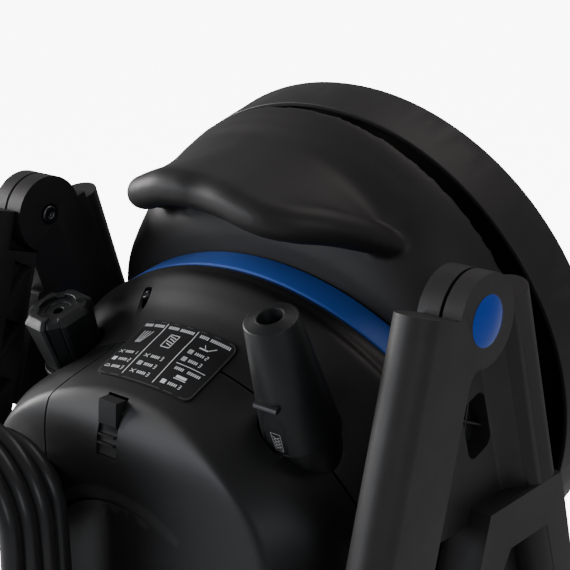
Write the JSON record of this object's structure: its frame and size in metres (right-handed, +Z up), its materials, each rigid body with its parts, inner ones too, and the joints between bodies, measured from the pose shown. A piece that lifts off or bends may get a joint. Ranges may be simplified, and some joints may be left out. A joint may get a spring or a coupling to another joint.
{
  "type": "upright high-pressure washer",
  "caption": "Upright wheeled high-pressure washer with a large hose reel on its far side, a fold-down handle, nozzle sockets and a hung mains cable.",
  "frame": {"origin": "centre of the standing machine's bounding box, on the floor, measured without the mains cable", "axes": "Z is up, Y points away from the operator through the hose reel, X is the operator's right"},
  "size_m": [0.3966, 0.4187, 0.6531],
  "materials": {
    "charcoal_plastic": "fine grained, satin",
    "black_plastic": "fine grained, satin",
    "blue_plastic": "smooth",
    "blue_trim": "satin",
    "label_print": "smooth, printed in white",
    "tyre_rubber": "matt",
    "grip_rubber": "soft, matt",
    "cable_rubber": "satin",
    "steel": "zinc plated",
    "dark_steel": "blackened",
    "cast_aluminium": "cast",
    "brass": "machined",
    "iron": "laminated",
    "pin_metal": "nickel plated"
  },
  "bodies": {
    "chassis": {"shroud": "charcoal_plastic", "side_frame_left": "charcoal_plastic", "side_frame_right": "charcoal_plastic", "back_plate": "charcoal_plastic", "reel_spindle": "charcoal_plastic", "collar": "black_plastic", "front_cover": "black_plastic", "cheek_left": "black_plastic", "nozzle_holder_left": "black_plastic", "nozzle_holder_right": "black_plastic", "lower_front": "black_plastic", "lower_back": "black_plastic", "base_tray": "black_plastic", "hub_cap_left": "black_plastic", "hub_cap_right": "black_plastic", "hook_base": "black_plastic", "cable_hook_lower": "black_plastic", "switch_box": "black_plastic", "capacitor": "black_plastic", "trim_ring": "blue_trim", "label_plate": "label_print", "feet": "grip_rubber", "cable_lead": "cable_rubber", "cable_hank": "cable_rubber", "cable_tail": "cable_rubber", "cable_gland": "cable_rubber", "plug_body": "cable_rubber", "axle": "steel", "latch_pin": "steel", "hinge_bolt_left": "dark_steel", "hinge_bolt_right": "dark_steel", "collar_screws": "dark_steel", "motor_stator": "cast_aluminium", "motor_shields": "cast_aluminium", "pump_case": "cast_aluminium", "pump_head": "brass", "water_inlet": "brass", "plug_pins": "pin_metal"},
    "handle": {"handle_arm_left": "charcoal_plastic", "handle_arm_right": "charcoal_plastic", "crossbar": "charcoal_plastic", "grip": "grip_rubber"},
    "button_left": {"hinge_button_left": "blue_plastic"},
    "button_right": {"hinge_button_right": "blue_plastic"},
    "reel": {"reel_rim": "charcoal_plastic", "reel_core": "charcoal_plastic", "crank_pin": "steel"},
    "crank_grip": {"crank_knob": "charcoal_plastic"},
    "left_wheel": {"wheel_left": "black_plastic", "tyre_left": "tyre_rubber"},
    "right_wheel": {"wheel_right": "black_plastic", "tyre_right": "tyre_rubber"},
    "switch": {"switch_knob": "blue_plastic"},
    "cover_latch": {"latch": "black_plastic"},
    "wide_jet": {"rough_nozzle": "charcoal_plastic"},
    "fan_jet": {"fan_nozzle": "charcoal_plastic"},
    "upper_hook": {"cable_hook_upper": "black_plastic"},
    "rotor": {"motor_rotor": "iron", "fan_wheel": "black_plastic"}
  },
  "joints": [
    {"name": "handle_fold", "type": "hinge", "parent": "chassis", "child": "handle", "pos_m": [0, -0.0306, 0.56], "axis": [-1, 0, 0], "range_deg": [0, 146]},
    {"name": "button_left_press", "type": "slide", "parent": "handle", "child": "button_left", "axis": [1, 0, 0], "range_m": [0, 0.003], "stiffness_N_per_m": 900},
    {"name": "button_right_press", "type": "slide", "parent": "handle", "child": "button_right", "axis": [-1, 0, 0], "range_m": [0, 0.003], "stiffness_N_per_m": 900},
    {"name": "reel_turn", "type": "hinge", "parent": "chassis", "child": "reel", "pos_m": [0, 0.10804, 0.47257], "axis": [0, 0.9826, 0.1857], "continuous": true},
    {"name": "crank_grip_turn", "type": "hinge", "parent": "reel", "child": "crank_grip", "pos_m": [0, 0.17908, 0.36591], "axis": [0, 0.9826, 0.1857], "continuous": true},
    {"name": "left_wheel_turn", "type": "hinge", "parent": "chassis", "child": "left_wheel", "pos_m": [-0.173, -0.0456, 0.105], "axis": [1, 0, 0], "continuous": true},
    {"name": "right_wheel_turn", "type": "hinge", "parent": "chassis", "child": "right_wheel", "pos_m": [0.173, -0.0456, 0.105], "axis": [1, 0, 0], "continuous": true},
    {"name": "switch_turn", "type": "hinge", "parent": "chassis", "child": "switch", "pos_m": [0.058, -0.1283, 0.292], "axis": [0, 1, 0], "range_deg": [0, 90]},
    {"name": "latch_swing", "type": "hinge", "parent": "chassis", "child": "cover_latch", "pos_m": [-0.0076, -0.1192, 0.483], "axis": [-1, 0, 0], "range_deg": [0, 28]},
    {"name": "wide_jet_lift", "type": "slide", "parent": "chassis", "child": "wide_jet", "axis": [0, -0.342, 0.9397], "range_m": [0, 0.06]},
    {"name": "fan_jet_lift", "type": "slide", "parent": "chassis", "child": "fan_jet", "axis": [0, -0.342, 0.9397], "range_m": [0, 0.06]},
    {"name": "upper_hook_turn", "type": "hinge", "parent": "chassis", "child": "upper_hook", "pos_m": [-0.067, -0.1496, 0.42], "axis": [0, 1, 0], "range_deg": [0, 180]},
    {"name": "rotor_spin", "type": "hinge", "parent": "chassis", "child": "rotor", "pos_m": [0, 0.0354, 0.23], "axis": [0, 0, 1], "continuous": true}
  ]
}
